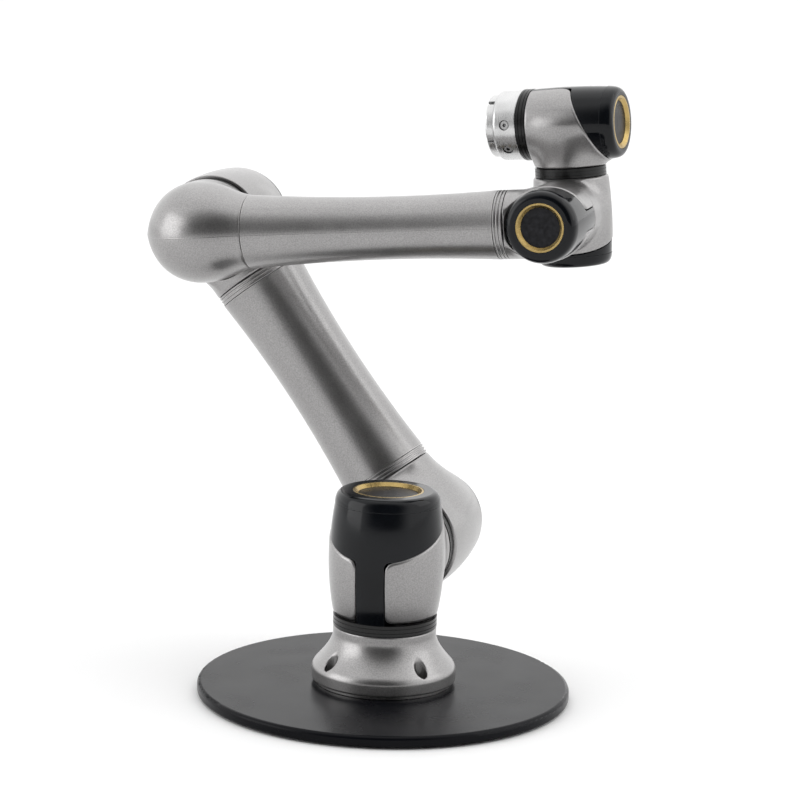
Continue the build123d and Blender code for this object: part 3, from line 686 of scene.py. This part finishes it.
forearm_up = np.cross(FORE, BACK)
forearm_paint = silver_paint("forearm_paint", (forearm_up.tolist(), float(forearm_up @ ELBOW * MM)))
for casting in (nodes["forearm_tube"], elbow_dome):
    casting.data.materials.clear()
    casting.data.materials.append(forearm_paint)


# ---------------------------------------------------------------- stage, lights and camera
def pale_floor():
    """Wide matte floor, almost white and faintly uneven."""
    stage = Painter("pale_floor")
    stage.link(stage.ramp(stage.noise(3.0, 2.0), (0.87, 0.87, 0.87), (0.89, 0.89, 0.89)),
               stage.shader.inputs["Base Color"])
    stage.set(Roughness=0.9)
    half = 12.0
    mesh = bpy.data.meshes.new("floor")
    corners = [(-half, -half, 0), (half, -half, 0), (half, half, 0), (-half, half, 0)]
    mesh.from_pydata(corners, [], [(0, 1, 2, 3)])
    mesh.materials.append(stage.material)
    floor = bpy.data.objects.new("floor", mesh)
    bpy.context.scene.collection.objects.link(floor)


def softbox(name, place, target, size, power):
    """White rectangular lamp that faces its target, with its size in metres and its power in watts."""
    lamp = bpy.data.lights.new(name, "AREA")
    lamp.shape = "RECTANGLE"
    lamp.size, lamp.size_y = size
    lamp.energy = power
    holder = bpy.data.objects.new(name, lamp)
    holder.location = place
    holder.rotation_euler = (Vector(target) - Vector(place)).to_track_quat("-Z", "Y").to_euler()
    bpy.context.scene.collection.objects.link(holder)


def world_light():
    """White studio surroundings, with the room's dark end in front of the object and a little to its right.

    The dark end shows only in reflections: looked at directly, the surroundings are never darker than white.
    """
    dark_end = (0.198, -0.930, 0.309)
    dark_within, bright_beyond = radians(22), radians(58)
    dark, bright = 0.04, 1.35
    world = bpy.data.worlds.new("studio")
    world.use_nodes = True
    bpy.context.scene.world = world
    tree = world.node_tree
    place = tree.nodes.new("ShaderNodeTexCoord")
    near = tree.nodes.new("ShaderNodeVectorMath")
    near.operation = "DOT_PRODUCT"
    near.inputs[1].default_value = dark_end
    tree.links.new(place.outputs["Generated"], near.inputs[0])
    fade = tree.nodes.new("ShaderNodeMapRange")
    fade.interpolation_type = "SMOOTHSTEP"
    fade.inputs["From Min"].default_value = cos(bright_beyond)
    fade.inputs["From Max"].default_value = cos(dark_within)
    fade.inputs["To Min"].default_value = bright
    fade.inputs["To Max"].default_value = dark
    tree.links.new(near.outputs["Value"], fade.inputs["Value"])
    backdrop = tree.nodes.new("ShaderNodeMath")
    backdrop.operation = "MAXIMUM"
    tree.links.new(fade.outputs["Result"], backdrop.inputs[0])
    tree.links.new(tree.nodes.new("ShaderNodeLightPath").outputs["Is Camera Ray"], backdrop.inputs[1])
    tree.links.new(backdrop.outputs[0], tree.nodes["Background"].inputs["Strength"])
    tree.nodes["Background"].inputs["Color"].default_value = (1, 1, 1, 1)


def main_camera():
    """Long lens a metre away, a little to the right of the arm's plane and above it."""
    azimuth, elevation, roll = radians(16.6), radians(11.21), radians(1.63)
    distance = 0.9883
    aim_height, aim_right = 0.1007, 0.00297
    lens, sensor = 134.6265, 36
    back = Vector((sin(azimuth) * cos(elevation), -cos(azimuth) * cos(elevation), sin(elevation)))
    level = Vector((cos(azimuth), sin(azimuth), 0))
    upright = back.cross(level)
    right = level * cos(roll) + upright * sin(roll)
    up = upright * cos(roll) - level * sin(roll)
    aim = Vector((0, 0, aim_height)) + level * aim_right
    camera = bpy.data.cameras.new("camera")
    camera.lens = lens
    camera.sensor_width = sensor
    camera.clip_end = 20
    holder = bpy.data.objects.new("camera", camera)
    turn = Matrix((right, up, back)).transposed().to_4x4()
    holder.matrix_world = Matrix.Translation(aim + back * distance) @ turn
    bpy.context.scene.collection.objects.link(holder)
    bpy.context.scene.camera = holder


pale_floor()
world_light()
softbox("left", (-1.15, -0.70, 0.45), (0, 0, 0.1), (1.0, 1.0), 4.5)
softbox("right", (1.1, 0.35, 0.9), (0, 0, 0.1), (0.9, 1.1), 2.2)
softbox("back", (0, 1.0, 1.8), (0, 0.6, 0), (2.4, 2.0), 3.5)
main_camera()
bpy.context.scene.view_settings.view_transform = "Standard"
